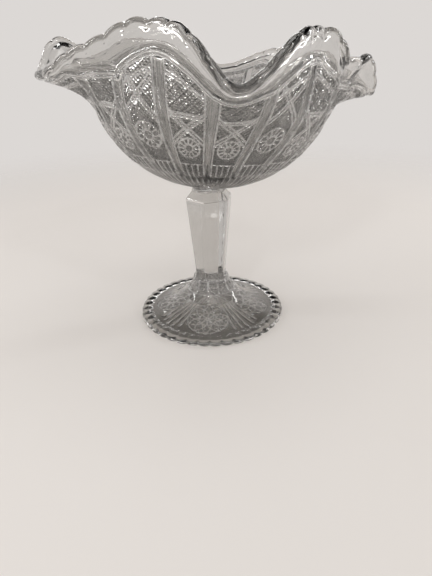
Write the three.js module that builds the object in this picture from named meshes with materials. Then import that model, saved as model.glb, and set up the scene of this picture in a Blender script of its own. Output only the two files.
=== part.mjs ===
// A footed bowl of clear pressed glass: a ruffled, scalloped bowl joined by a round wafer to a tapering
// hexagonal stem on a domed round foot. The pieces are pressed one by one and stuck together hot, so
// each stands on a flat face of the one below.
// Millimetres, +Z up. It stands on z = 0, with the middle of the foot at the origin.
import * as THREE from "three";

const DEGREE = Math.PI / 180;

// Foot
const FOOT_RADIUS = 63.5; // to the tips of the scallops
const FOOT_HEIGHT = 35; // from the table to the seat of the stem
const FOOT_SEAT_RADIUS = 15; // the flat top that the stem is stuck to
const FOOT_EDGE_THICKNESS = 4.6;
const FOOT_EDGE_ROUNDING = 1.2;
const FOOT_BORDER_WIDTH = 6; // the plain rounded border inside the scallops
const FOOT_SCALLOPS = 40;
const FOOT_SCALLOP_DEPTH = 1.8;
const FOOT_FLARE_RADIUS = 21; // where the steep neck turns into the spreading foot
const FOOT_FLARE_HEIGHT = 20.5;
const MEDALLIONS = 4; // oval stars pressed into the foot, with a fan of ribs between each two
const MEDALLION_TURN = -103.5 * DEGREE;
const MEDALLION_DISTANCE = 37; // from the middle of the foot
const MEDALLION_HALF_WIDTH = 19; // around the foot
const MEDALLION_HALF_LENGTH = 12; // along the radius
const MEDALLION_RELIEF = 1;
const FAN_RIBS = 5;
const FAN_HALF_ANGLE = 17 * DEGREE;
const FAN_LENGTH = 32;
const FAN_RELIEF = 1;

// Stem
const STEM_SIDES = 6;
const STEM_BASE_RADIUS = 14.4; // to the corners, where it stands on the foot
const STEM_WAIST_RADIUS = 13.8;
const STEM_WAIST_HEIGHT = 5; // of the narrowest place, above the seat
const STEM_SHOULDER_RADIUS = 20; // to the corners, at the widest
const STEM_TAPER_HEIGHT = 69.5; // from the seat to the shoulder
const STEM_SHOULDER_BAND = 1.2; // the narrow upright band under the bevel
const STEM_TOP_RADIUS = 14.5;
const STEM_BEVEL_HEIGHT = 6; // the sloping collar above the shoulder
const STEM_TURN = -107 * DEGREE; // direction of the front corner

// Wafer of glass between stem and bowl
const WAFER_HEIGHT = 5.5;
const WAFER_STEM_RADIUS = 14;
const WAFER_BOWL_RADIUS = 17;
const WAFER_WAIST = 1.2; // how far its side is drawn in

// Bowl: the lower part of an ellipsoid, drawn out above a spring line into four lobes and four valleys
const BOWL_RADIUS = 90;
const BOWL_DEPTH = 80; // from the ellipsoid's widest ring down to its lowest point
const BOWL_SEAT_RADIUS = 17;
const BOWL_LEAN = 4 * DEGREE; // it was stuck on a little out of level
const BOWL_LEAN_TOWARD = -7 * DEGREE;
const BOWL_WALL = 5;
const BOWL_FLOOR = 8.5; // glass above the seat
const RIM_BEAD_RADIUS = 3.3;
const RIM_SCALLOPS = 48;
const RIM_SCALLOP_DEPTH = 2;
const RIM_DRAW = 1.05; // how strongly the wall keeps its direction at both ends of the ruffle

// The bowl's pressed pattern. Heights on the wall are measured up its outside, from the ring of the seat.
const PATTERN_TURN = 3 * DEGREE; // direction of a flute, and of the middle of the first arch
const FLUTES = 18;
const FLUTES_START = 46;
const FLUTE_START_HALF_WIDTH = 2.6;
const FLUTE_END_HALF_WIDTH = 4.3;
const FLUTE_DEPTH = 1;
const FLUTE_LIP = 0.6; // the raised line on each side of a flute
const ARCHES = 6; // the pattern ends in a raised line that rises in an arch over every third flute
const ARCH_HALF_ANGLE = 20 * DEGREE;
const BORDER_HEIGHT = 118;
const ARCH_RISE = 14;
const BORDER_CLEARANCE = 10; // the plain edge above it is nowhere narrower
const BORDER_HALF_WIDTH = 2;
const BORDER_RELIEF = 1;

// The rim was pulled into shape by hand, so no two lobes or valleys are alike. Each has its direction, how
// far it reaches from the middle, how high it rises above the bowl's seat, the slope of the wall at the
// edge, and how far up the ellipsoid its wall springs out. A valley also has a pinch on each side: the
// higher it is, the sooner the edge climbs out of it.
const VALLEYS = [
  { at: -6, reach: 124.5, rise: 70, slope: 8, spring: 71, pinchBefore: 2.2, pinchAfter: 2.2 },
  { at: 79, reach: 119, rise: 80, slope: 18, spring: 66, pinchBefore: 2.4, pinchAfter: 2.4 },
  { at: 175, reach: 128.5, rise: 72, slope: 15, spring: 71, pinchBefore: 3.2, pinchAfter: 1 },
  { at: 269, reach: 119, rise: 77, slope: 26, spring: 58, pinchBefore: 3.4, pinchAfter: 3.2 },
];
const LOBES = [
  { at: 34, reach: 97, rise: 101, slope: 80, spring: 71 },
  { at: 121, reach: 94, rise: 107, slope: 82, spring: 71 },
  { at: 234, reach: 92, rise: 111, slope: 84, spring: 71 },
  { at: 314, reach: 92, rise: 112, slope: 82, spring: 71 },
];
// Smaller kinks that the shaping tool left in the edge, outwards and upwards.
const KINKS = [
  { at: -40, halfWidth: 10, out: 5, up: 0 },
  { at: -33, halfWidth: 14, out: 0, up: -13 },
  { at: -14, halfWidth: 13, out: -3, up: 9 },
  { at: 147, halfWidth: 13, out: -4, up: -11 },
  { at: 165, halfWidth: 12, out: 0.5, up: 13 },
  { at: 193, halfWidth: 14, out: 0, up: -2.5 },
  { at: 216, halfWidth: 16, out: 0, up: -2.5 },
];

// How finely the round pieces are divided
const COLUMNS_PER_SCALLOP = 4;
const FOOT_COLUMNS_PER_SCALLOP = 4;
const WAFER_COLUMNS = 36;
const RIM_SAMPLES = 720;
const WALL_SAMPLES = 48;

// Levels that the sizes above give
const STEM_BASE_Z = FOOT_HEIGHT;
const SHOULDER_Z = STEM_BASE_Z + STEM_TAPER_HEIGHT;
const STEM_TOP_Z = SHOULDER_Z + STEM_SHOULDER_BAND + STEM_BEVEL_HEIGHT;
const BOWL_SEAT_Z = STEM_TOP_Z + WAFER_HEIGHT;
const BOWL_SEAT_ANGLE = Math.asin(BOWL_SEAT_RADIUS / BOWL_RADIUS);
const BOWL_CENTRE_RISE = BOWL_DEPTH * Math.cos(BOWL_SEAT_ANGLE);

const mix = (a, b, t) => a + (b - a) * t;
const smooth = (t) => t * t * (3 - 2 * t);
const clamp01 = (t) => Math.min(1, Math.max(0, t));
const turnOf = (degrees) => ((degrees % 360) + 360) % 360;
const steps = (n, from = 0, to = 1) => Array.from({ length: n }, (_, i) => mix(from, to, i / (n - 1)));
const polar = (r, angle, z) => new THREE.Vector3(r * Math.cos(angle), r * Math.sin(angle), z);
const onAxis = (z) => new THREE.Vector3(0, 0, z);

// How far an angle is from the nearest of a number of evenly spaced directions.
function fromNearest(angle, count, first) {
  const pitch = (2 * Math.PI) / count;
  const turns = (angle - first) / pitch;
  return (turns - Math.round(turns)) * pitch;
}

// A row of rounded humps with sharp notches between them, from 0 in a notch to 1 on a hump.
const humps = (share, count) => Math.pow(Math.abs(Math.sin(share * count * Math.PI)), 0.6);

// A closed body from columns of points round the Z axis. Every column starts at the bottom pole and
// ends at the top pole.
function ringBody(columns) {
  const rows = columns[0].length - 2;
  const points = [columns[0][0], columns[0][rows + 1]];
  columns.forEach((column) => points.push(...column.slice(1, -1)));
  const at = (i, j) => 2 + (i % columns.length) * rows + j;
  const faces = [];
  for (let i = 0; i < columns.length; i++) {
    faces.push(0, at(i + 1, 0), at(i, 0));
    for (let j = 0; j + 1 < rows; j++) {
      faces.push(at(i, j), at(i + 1, j), at(i, j + 1));
      faces.push(at(i + 1, j), at(i + 1, j + 1), at(i, j + 1));
    }
    faces.push(at(i, rows - 1), at(i + 1, rows - 1), 1);
  }
  return new THREE.BufferGeometry().setFromPoints(points).setIndex(faces);
}

const evenColumns = (count, columnAt) =>
  Array.from({ length: count }, (_, i) => columnAt((2 * Math.PI * i) / count, i / count));

// Foot

// Height of the smooth top of the foot at a radius: a steep neck, then a long spreading curve.
function footTop(radius) {
  const spread = clamp01((FOOT_RADIUS - radius) / (FOOT_RADIUS - FOOT_FLARE_RADIUS));
  const flare = mix(FOOT_EDGE_THICKNESS, FOOT_FLARE_HEIGHT, Math.pow(spread, 1.9));
  const neck = clamp01((FOOT_FLARE_RADIUS - radius) / (FOOT_FLARE_RADIUS - FOOT_SEAT_RADIUS));
  return flare + (FOOT_HEIGHT - FOOT_FLARE_HEIGHT) * Math.pow(neck, 1.4);
}

// Raised pattern on the foot: an oval medallion with a ring round it, and the ribs of the fans.
function footRelief(radius, angle) {
  const off = fromNearest(angle, MEDALLIONS, MEDALLION_TURN);
  const oval = Math.hypot(
    (radius * Math.cos(off) - MEDALLION_DISTANCE) / MEDALLION_HALF_LENGTH,
    (radius * Math.sin(off)) / MEDALLION_HALF_WIDTH,
  );
  const medallion = MEDALLION_RELIEF * clamp01((1.05 - oval) * 4) * mix(0.45, 1, smooth(clamp01(oval)));
  const fanOff = Math.abs(fromNearest(angle, MEDALLIONS, MEDALLION_TURN + Math.PI / MEDALLIONS));
  const rib = Math.cos((fanOff / FAN_HALF_ANGLE) * (FAN_RIBS - 1) * Math.PI);
  const inFan = fanOff < FAN_HALF_ANGLE * 1.1 && radius < FOOT_FLARE_RADIUS + FAN_LENGTH;
  return Math.max(medallion, inFan ? FAN_RELIEF * Math.max(0, rib) : 0);
}

function footColumn(angle, share) {
  const edge = FOOT_RADIUS - FOOT_SCALLOP_DEPTH * (1 - humps(share, FOOT_SCALLOPS));
  const border = FOOT_RADIUS - FOOT_SCALLOP_DEPTH - FOOT_BORDER_WIDTH;
  const top = (r, relief) => polar(r, angle, footTop(r) + relief);
  return [
    onAxis(0),
    polar(edge - FOOT_EDGE_ROUNDING, angle, 0),
    polar(edge, angle, FOOT_EDGE_THICKNESS * 0.35),
    polar(edge - 0.2, angle, FOOT_EDGE_THICKNESS * 0.75),
    top(edge - FOOT_EDGE_ROUNDING, 0),
    top(border, 0),
    ...steps(7, border - 1.5, FOOT_FLARE_RADIUS + 1).map((r) => top(r, footRelief(r, angle))),
    ...steps(4, FOOT_FLARE_RADIUS, FOOT_SEAT_RADIUS).map((r) => top(r, 0)),
    onAxis(FOOT_HEIGHT),
  ];
}

// Stem and wafer

const turned = (profile, angle) => profile.map(([r, z]) => (r ? polar(r, angle, z) : onAxis(z)));

const stemProfile = [
  [0, STEM_BASE_Z],
  [STEM_BASE_RADIUS, STEM_BASE_Z],
  [STEM_WAIST_RADIUS, STEM_BASE_Z + STEM_WAIST_HEIGHT],
  [STEM_SHOULDER_RADIUS, SHOULDER_Z],
  [STEM_SHOULDER_RADIUS, SHOULDER_Z + STEM_SHOULDER_BAND],
  [STEM_TOP_RADIUS, STEM_TOP_Z],
  [0, STEM_TOP_Z],
];

const waferProfile = [
  [0, STEM_TOP_Z],
  ...steps(7).map((t) => [
    mix(WAFER_STEM_RADIUS, WAFER_BOWL_RADIUS, smooth(t)) - WAFER_WAIST * Math.sin(Math.PI * t),
    mix(STEM_TOP_Z, BOWL_SEAT_Z, t),
  ]),
  [0, BOWL_SEAT_Z],
];

// Bowl

// What the kinks add together in a direction, in degrees.
function kinkAt(at) {
  const sum = { out: 0, up: 0 };
  for (const kink of KINKS) {
    const off = Math.abs(turnOf(at - kink.at + 180) - 180) / kink.halfWidth;
    const share = off < 1 ? (1 + Math.cos(Math.PI * off)) / 2 : 0;
    sum.out += share * kink.out;
    sum.up += share * kink.up;
  }
  return sum;
}

// The rim in a direction, between the valley and the lobe on either side of it.
function rimAt(angle) {
  const at = turnOf(angle / DEGREE);
  for (let i = 0; i < VALLEYS.length; i++) {
    const valley = VALLEYS[i];
    for (const side of [-1, 1]) {
      const lobe = LOBES[(i + (side < 0 ? LOBES.length - 1 : 0)) % LOBES.length];
      const span = turnOf((lobe.at - valley.at) * side);
      const away = turnOf((at - valley.at) * side);
      if (away > span) continue;
      const t = smooth(away / span);
      const climb = 1 - Math.pow(1 - t, side < 0 ? valley.pinchBefore : valley.pinchAfter);
      const kink = kinkAt(at);
      return {
        reach: mix(valley.reach, lobe.reach, 1 - Math.pow(1 - t, 1.2)) + kink.out,
        rise: mix(valley.rise, lobe.rise, climb) + kink.up,
        slope: mix(valley.slope, lobe.slope, climb) * DEGREE,
        spring: mix(valley.spring, lobe.spring, t) * DEGREE,
        away: away / span, // 0 in the valley, 1 on the lobe
      };
    }
  }
  throw new Error("a direction lies between no valley and lobe");
}

// A point of the smooth outer wall: v runs from 0 at the seat over 0.5 at the spring line to 1 at the rim.
function wallPoint(angle, v) {
  const rim = rimAt(angle);
  const ring = (u) => [BOWL_RADIUS * Math.sin(u), BOWL_CENTRE_RISE - BOWL_DEPTH * Math.cos(u)];
  let [r, z] = ring(mix(BOWL_SEAT_ANGLE, rim.spring, Math.min(1, v * 2)));
  if (v > 0.5) {
    const t = v * 2 - 1;
    const start = Math.atan2(BOWL_DEPTH * Math.sin(rim.spring), BOWL_RADIUS * Math.cos(rim.spring));
    const pull = RIM_DRAW * Math.hypot(rim.reach - r, rim.rise - z);
    const arrive = t * t * (3 - 2 * t);
    const leave = t * (1 - t) * (1 - t);
    const land = t * t * (t - 1);
    r = mix(r, rim.reach, arrive) + pull * (leave * Math.cos(start) + land * Math.cos(rim.slope));
    z = mix(z, rim.rise, arrive) + pull * (leave * Math.sin(start) + land * Math.sin(rim.slope));
  }
  return leant(polar(r, angle, z));
}

// The bowl leans as a whole about the middle of its seat.
function leant(point) {
  const hinge = polar(1, BOWL_LEAN_TOWARD + Math.PI / 2, 0);
  return point.applyAxisAngle(hinge, BOWL_LEAN).add(onAxis(BOWL_SEAT_Z));
}

// At a point of the wall: the outward normal and the direction up the wall.
function wallFrame(angle, v) {
  const step = 1e-3;
  const up = wallPoint(angle, Math.min(1, v + step)).sub(wallPoint(angle, Math.max(0, v - step)));
  const round = wallPoint(angle + step, v).sub(wallPoint(angle - step, v));
  return { up: up.normalize(), normal: round.cross(up).normalize() };
}

function besideWall(angle, v, out) {
  return wallPoint(angle, v).addScaledVector(wallFrame(angle, v).normal, out);
}

// The wall's length up the outside in a direction, and v at a height on it.
function measureWall(angle) {
  const marks = steps(WALL_SAMPLES + 1);
  const points = marks.map((v) => wallPoint(angle, v));
  const heights = [0];
  for (let i = 1; i < marks.length; i++) heights.push(heights[i - 1] + points[i].distanceTo(points[i - 1]));
  const at = (height) => {
    const i = Math.max(1, heights.findIndex((h) => h >= height));
    return mix(marks[i - 1], marks[i], (height - heights[i - 1]) / (heights[i] - heights[i - 1]));
  };
  return { length: heights[WALL_SAMPLES], at };
}

// Hollow flutes with a raised line on each side, widening as they rise.
function fluteRelief(angle, v, height) {
  const p = wallPoint(angle, v);
  const rise = clamp01((height - FLUTES_START) / (BORDER_HEIGHT - FLUTES_START));
  const off = Math.abs(fromNearest(angle, FLUTES, PATTERN_TURN)) * Math.hypot(p.x, p.y);
  const across = off / mix(FLUTE_START_HALF_WIDTH, FLUTE_END_HALF_WIDTH, rise);
  if (across < 1) return -FLUTE_DEPTH * (1 - across * across) + FLUTE_LIP * across * across;
  return FLUTE_LIP * Math.max(0, 2 - across);
}

// Height on the wall of the line that ends the pattern.
function borderHeight(angle, wallLength) {
  const off = clamp01(Math.abs(fromNearest(angle, ARCHES, PATTERN_TURN)) / ARCH_HALF_ANGLE);
  const arch = ARCH_RISE * Math.cos((off * Math.PI) / 2);
  return Math.min(BORDER_HEIGHT + arch, wallLength - BORDER_CLEARANCE);
}

function bowlColumn(angle, share) {
  const wall = measureWall(angle);
  const border = borderHeight(angle, wall.length);
  const outside = (height, out) => besideWall(angle, wall.at(height), out);
  const fluted = steps(6, FLUTES_START, border - BORDER_HALF_WIDTH).map((height, i) =>
    outside(height, i ? fluteRelief(angle, wall.at(height), height) : 0),
  );
  const top = wallFrame(angle, 1);
  const notch = RIM_SCALLOP_DEPTH * (humps(share, RIM_SCALLOPS) - 1);
  const heart = wallPoint(angle, 1)
    .addScaledVector(top.normal, -BOWL_WALL / 2)
    .addScaledVector(top.up, notch * mix(0.5, 1, rimAt(angle).away) - RIM_BEAD_RADIUS);
  const bead = steps(5, -20 * DEGREE, 200 * DEGREE).map((a) =>
    heart
      .clone()
      .addScaledVector(top.normal, RIM_BEAD_RADIUS * Math.cos(a))
      .addScaledVector(top.up, RIM_BEAD_RADIUS * Math.sin(a)),
  );
  const inner = [...steps(3, 0.88, 0.62), ...steps(4, 0.46, 0.1)].map((v) =>
    besideWall(angle, v, -mix(BOWL_WALL, BOWL_FLOOR, Math.pow(1 - v, 4))),
  );
  return [
    onAxis(BOWL_SEAT_Z),
    polar(BOWL_SEAT_RADIUS, angle, BOWL_SEAT_Z),
    outside(FLUTES_START / 3, 0),
    outside((FLUTES_START * 2) / 3, 0),
    ...fluted,
    outside(border - BORDER_HALF_WIDTH / 2, BORDER_RELIEF),
    outside(border + BORDER_HALF_WIDTH / 2, BORDER_RELIEF),
    outside(border + BORDER_HALF_WIDTH, 0),
    ...bead,
    ...inner,
    leant(onAxis(BOWL_FLOOR)),
  ];
}

// The columns of the bowl stand evenly along the edge of the rim, so that each scallop is as long as the next.
function rimDirections(count) {
  const angles = steps(RIM_SAMPLES + 1, 0, 2 * Math.PI);
  const edge = angles.map((angle) => wallPoint(angle, 1));
  const along = [0];
  for (let i = 1; i < edge.length; i++) along.push(along[i - 1] + edge[i].distanceTo(edge[i - 1]));
  const total = along[RIM_SAMPLES];
  let k = 0;
  return Array.from({ length: count }, (_, i) => {
    const goal = (total * i) / count;
    while (along[k + 1] <= goal) k++;
    return mix(angles[k], angles[k + 1], (goal - along[k]) / (along[k + 1] - along[k]));
  });
}

function bowlColumns() {
  const count = RIM_SCALLOPS * COLUMNS_PER_SCALLOP;
  return rimDirections(count).map((angle, i) => bowlColumn(angle, i / count));
}

const glass = (color) =>
  new THREE.MeshStandardMaterial({ color, roughness: 0.06, metalness: 0, transparent: true, opacity: 0.45 });

function piece(name, columns, color) {
  const mesh = new THREE.Mesh(ringBody(columns), glass(color));
  mesh.name = name;
  return mesh;
}

const footedBowl = new THREE.Group();
footedBowl.add(
  piece("foot", evenColumns(FOOT_SCALLOPS * FOOT_COLUMNS_PER_SCALLOP, footColumn), 0xdfe4e6),
  piece("stem", evenColumns(STEM_SIDES, (angle) => turned(stemProfile, angle + STEM_TURN)), 0xe6eaec),
  piece("wafer", evenColumns(WAFER_COLUMNS, (angle) => turned(waferProfile, angle)), 0xe3e7e9),
  piece("bowl", bowlColumns(), 0xe0e4e6),
);
footedBowl.name = "footed_bowl";

export default footedBowl;
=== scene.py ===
"""A footed bowl of clear pressed glass: ruffled, scalloped bowl, wafer, hexagonal stem and domed foot.

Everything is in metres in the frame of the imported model, which stands on z = 0 with its foot's middle at
the origin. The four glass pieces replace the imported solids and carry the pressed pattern.
"""
import math

import bpy
import numpy as np
from mathutils import Matrix, Vector


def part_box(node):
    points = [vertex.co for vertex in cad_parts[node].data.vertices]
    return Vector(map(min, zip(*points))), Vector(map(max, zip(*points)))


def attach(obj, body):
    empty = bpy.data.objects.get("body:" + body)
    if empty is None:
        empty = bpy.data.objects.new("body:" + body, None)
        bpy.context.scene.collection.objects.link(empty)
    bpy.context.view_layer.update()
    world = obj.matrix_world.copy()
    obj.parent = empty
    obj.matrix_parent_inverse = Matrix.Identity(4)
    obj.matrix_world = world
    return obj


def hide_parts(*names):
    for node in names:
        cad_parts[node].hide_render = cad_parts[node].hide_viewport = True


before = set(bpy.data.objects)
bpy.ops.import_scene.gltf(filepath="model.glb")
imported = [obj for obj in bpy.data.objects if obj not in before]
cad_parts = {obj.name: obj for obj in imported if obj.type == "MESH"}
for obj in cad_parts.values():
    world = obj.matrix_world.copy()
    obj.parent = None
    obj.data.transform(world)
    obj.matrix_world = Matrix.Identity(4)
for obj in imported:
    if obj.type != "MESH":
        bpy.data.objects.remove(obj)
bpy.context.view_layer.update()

MM = 0.001
DEGREE = math.pi / 180

# Camera, worked out from the outlines of the foot, stem and rim
IMAGE_HEIGHT = 576  # pixels
FOCAL_PX = 480
CAMERA_PITCH = 26.5 * DEGREE
CAMERA_AZIMUTH = -7 * DEGREE
CAMERA_ROLL = 1.4 * DEGREE
CAMERA_DISTANCE = 0.387
CAMERA_HEIGHT = 0.214
CAMERA_SIDEWAYS = 0.004
SENSOR_WIDTH = 36  # millimetres

# Where the pieces meet, in millimetres
FOOT_HEIGHT, STEM_TOP_Z, BOWL_SEAT_Z = (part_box(node)[1][2] / MM for node in ("foot", "stem", "wafer"))

# Foot, in millimetres
FOOT_RADIUS = 63.5
FOOT_SEAT_RADIUS = 15
FOOT_EDGE_THICKNESS = 4.6
FOOT_EDGE_ROUNDING = 1.2
FOOT_BORDER_WIDTH = 8
FOOT_SCALLOPS = 40
FOOT_SCALLOP_DEPTH = 1.8
FOOT_SCALLOP_HUMP = 1.3  # how far a scallop bulges up on the border
FOOT_FLARE_RADIUS = 21
FOOT_FLARE_HEIGHT = 24
FOOT_DOME_POWER = 2.3
FOOT_NECK_POWER = 1.9
FOOT_HOLLOW_RADIUS = 56.5
FOOT_HOLLOW_HEIGHT = 15
FOOT_HOLLOW_EDGE = 0.6  # the hollow's height at its edge, inside the ring that the foot stands on
FOOT_HOLLOW_POWER = 1.1
PETALS = 12
PETAL_RELIEF = 0.4
PETAL_HALF_WIDTH = 1.6
PETAL_FADE = 2

# Pattern in the hollow under the foot, in millimetres
MEDALLIONS = 4
MEDALLION_TURN = -103.5 * DEGREE
MEDALLION_DISTANCE = 32
MEDALLION_RADIUS = 17.5
MEDALLION_RIM = 0.97  # share of the radius
MEDALLION_HUB = 0.4
MEDALLION_SPIRALS = 10
MEDALLION_HUB_RAYS = 8
MEDALLION_RELIEF = 1.3
MEDALLION_LINE = 0.8  # distances shrink by this much, which widens the lines
FAN_RIBS = 5
FAN_PITCH = 7.2 * DEGREE
FAN_START = 18
FAN_END = 51
FAN_END_DROP = 3  # how much shorter the outer ribs are
FAN_FADE_IN = 4
FAN_FADE_OUT = 2
FAN_RELIEF = 1.8
FAN_LINE = 0.55
HOLLOW_LINE_HALF_WIDTH = 1.5

# Stem and wafer
STEM_SIDES = 6
STEM_BASE_RADIUS = 14.4
STEM_WAIST_RADIUS = 13.8
STEM_WAIST_HEIGHT = 5
STEM_SHOULDER_RADIUS = 20
STEM_SHOULDER_BAND = 1.2
STEM_TOP_RADIUS = 14.5
STEM_BEVEL_HEIGHT = 6
STEM_TURN = -107 * DEGREE
STEM_CORNER_ROUNDING = 0.9
STEM_ROUNDING_STEPS = 3
FOOT_SEAT_FACES = 0.7  # faces centred inside this share of the stem's radius make the seat under it
WAFER_STEM_RADIUS = 14
WAFER_BOWL_RADIUS = 17
WAFER_WAIST = 1.2

# Bowl
BOWL_RADIUS = 90
BOWL_DEPTH = 80
BOWL_SEAT_RADIUS = 17
BOWL_LEAN = 4 * DEGREE
BOWL_LEAN_TOWARD = -7 * DEGREE
BOWL_WALL = 5
BOWL_FLOOR = 8.5
RIM_BEAD_RADIUS = 3.3
RIM_SCALLOPS = 48
RIM_SCALLOP_DEPTH = 2
RIM_SCALLOP_IN_VALLEY = 0.5  # share of that depth
RIM_DRAW = 1.05  # how far the wall keeps its direction into the ruffle
RIM_REACH_PINCH = 1.2
BEAD_ARC = (-25 * DEGREE, 205 * DEGREE)
INNER_WALL = (0.9, 0.04)  # from the bead to the bowl's floor, as shares of the wall
BOWL_FLOOR_POWER = 4
VALLEYS = [  # direction, reach, rise above the seat, slope at the edge, spring angle, pinch before, after
    (-6, 124.5, 70, 8, 71, 2.2, 2.2),
    (79, 119, 80, 18, 66, 2.4, 2.4),
    (175, 128.5, 72, 15, 71, 3.2, 1),
    (269, 119, 77, 26, 58, 3.4, 3.2),
]
LOBES = [  # direction, reach, rise, slope, spring angle
    (34, 97, 101, 80, 71),
    (121, 94, 107, 82, 71),
    (234, 92, 111, 84, 71),
    (314, 92, 112, 82, 71),
]
KINKS = [  # direction, half width, outwards, upwards: smaller kinks that the shaping tool left in the edge
    (-40, 10, 5, 0),
    (-33, 14, 0, -13),
    (-14, 13, -3, 9),
    (147, 13, -4, -11),
    (165, 12, 0.5, 13),
    (193, 14, 0, -2.5),
    (216, 16, 0, -2.5),
]
SCALLOP_POWER = 0.6  # below 1, the notches between the scallops are sharp

# The bowl's pattern; heights are lengths up the outside of the wall, from the ring of the seat
PATTERN_TURN = 3 * DEGREE
PATTERN_FADE_LOW = 4
PATTERN_FADE_HIGH = 1.5
BASE_RAYS = 72
BASE_RELIEF = 0.9
BASE_START = 6
BASE_FADE = 12
FLUTES = 18
FLUTE_PITCH = 2 * math.pi / FLUTES
FLUTES_START = 46
FLUTE_START_HALF_WIDTH = 2.6
FLUTE_END_HALF_WIDTH = 4.3
FLUTE_DEPTH = 1.0
FLUTE_LIP = 0.6
FLUTE_LIP_WIDTH = 1.8
ARCHES = 6
ARCH_HALF_ANGLE = 20 * DEGREE
BORDER_HEIGHT = 118
ARCH_RISE = 14
BORDER_CLEARANCE = 10  # from the edge of the rim
BORDER_HALF_WIDTH = 2
BORDER_RELIEF = 1.0
BORDER_LINE_HALF_WIDTH = 1.8
DRAW = 11 * DEGREE  # how far the lower pattern is drawn together towards the front
DRAW_TURN = 1.5 * DEGREE
DRAW_TOWARD = -97 * DEGREE
DRAW_LEVELS = (64, 102)

# The panels between the flutes, in millimetres. Of every three the third has its own layout: each pair of
# values is for the first two and for the third.
PANEL_TURN = PATTERN_TURN + FLUTE_PITCH / 2
PANEL_SLOPE = 3  # how steeply its pattern rises beside a flute
CROSSES = (((81, 102), (102, 81)), ((97, 122), (123, 95)))  # two arms, from the left edge to the right
BAR_HEIGHT = 100
BAR_REACH = 0.85
INNER_ARCH_GAP = 8
STAR_HEIGHTS = (77, 84)
STAR_RADII = (7.5, 9)
STAR_MARGIN = 1.2
STAR_HUB = 0.36  # share of the radius
STAR_RAYS = 12
STAR_LINE = 1.15  # distances grow by this much, which narrows the lines
FIELD_HEIGHTS = (101, 110)  # above these the ground is diamond points
POINT_PITCH = 4.4
POINT_RELIEF = 1.3
GROUND_PITCH = 2.8
GROUND_RELIEF = 0.3
REEDS = 4  # spaces between the fine ribs that fill a panel's lower end
REEDS_END = 63
PAIR_SPREAD = 1.1  # half the distance between two ridges that run side by side
ARM_SPREAD = 1.2
RIDGE_HALF_WIDTH = 1.7
RIDGE_RELIEF = 0.9

# What the sizes above give
SHOULDER_Z = STEM_TOP_Z - STEM_BEVEL_HEIGHT - STEM_SHOULDER_BAND
BOWL_SEAT_ANGLE = math.asin(BOWL_SEAT_RADIUS / BOWL_RADIUS)
BOWL_CENTRE_RISE = BOWL_DEPTH * math.cos(BOWL_SEAT_ANGLE)

# How finely the pressed pieces are divided
BOWL_COLUMNS = 15 * RIM_SCALLOPS
BOWL_BASE_ROWS = 13
BOWL_PATTERN_ROWS = 80
BOWL_BORDER_ROWS = 8
BOWL_PLAIN_ROWS = 5
BOWL_BEAD_ROWS = 10
BOWL_INNER_ROWS = 18
BASE_MARGIN = 2  # millimetres between the base's rows and the seat, and the flutes
BORDER_REACH = 2.2  # the border's rows reach this far to both sides
BORDER_GAP = 2.6  # and the next rows start here
PLAIN_LEAST = 3.2
BEAD_GAP = 2.5
RIM_SAMPLES = 2881
WALL_SAMPLES = 121
FOOT_COLUMNS = 14 * FOOT_SCALLOPS
FOOT_ROW_GAP = 0.5  # millimetres between two parts of the profile
FOOT_HOLLOW_START = 3  # radius of the first ring round the pole
FOOT_HOLLOW_ROWS = 84
FOOT_EDGE_ROWS = 7
FOOT_EDGE_ARC = 60  # degrees that the edge is rounded up and down
FOOT_EDGE_ARC_SINE = 0.87
FOOT_BORDER_ROWS = 12
FOOT_DOME_ROWS = 20
FOOT_NECK_ROWS = 16
WAFER_ROWS = 10
WAFER_SIDES = 144
WAFER_SMOOTH_ANGLE = 40 * DEGREE

FAR = 99.0  # distance to a ridge, in mm, where there is none
FOOT_LEAST_HOLLOW = 0.2  # the pattern under the foot stays this far, in mm, off the table

# Painted shade: how much grey the glass's colour takes between its ridges, 0 to 1, so that it reads darker
# there
BOWL_PAINTED_SHADE = 0.8
BOWL_PLAIN_SHARE = 0.35  # in the flutes
BOWL_BASE_SHARE = 0.8  # below the flutes
BOWL_BASE_FADE = 12  # millimetres above the start of the flutes
FOOT_PAINTED_SHADE = 0.9
PETAL_PAINTED_SHADE = 0.5
STEM_PAINTED_SHADE = 0.2

# Glass
# Painted shade: the ground colour is the grey mixed in between the ridges, and the clear colour keeps a light
# grey of it on the crests too
SHADED_CLEAR_COLOUR, PAINTED_SHADE_COLOUR, SHADOW_COLOUR = "#e1e0de", "#6c6b68", "#c4c2c0"
SODA_GLASS_IOR = 1.52
WAVE_LENGTH = 11.1111 * MM
WAVE_HEIGHT = 0.15 * MM
HATCH_WIDTH = 1.5 * MM  # coarser than the mould's own hatching, which would be too fine to show
HATCH_STEEPNESS = 0.65
SHOULDER = (0.4 * MM, 1.1 * MM)  # where a ridge's shoulder begins and ends, beside its crest
SHOULDER_HEIGHT = 0.5 * MM
SPECK_SIZE = 3.84615 * MM
SPECKS = (0.38, 0.62)  # the range of the noise that is used
SCATTER = (0.12, 0.4)  # how much light a ridge scatters, from its clearest to its palest specks

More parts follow.
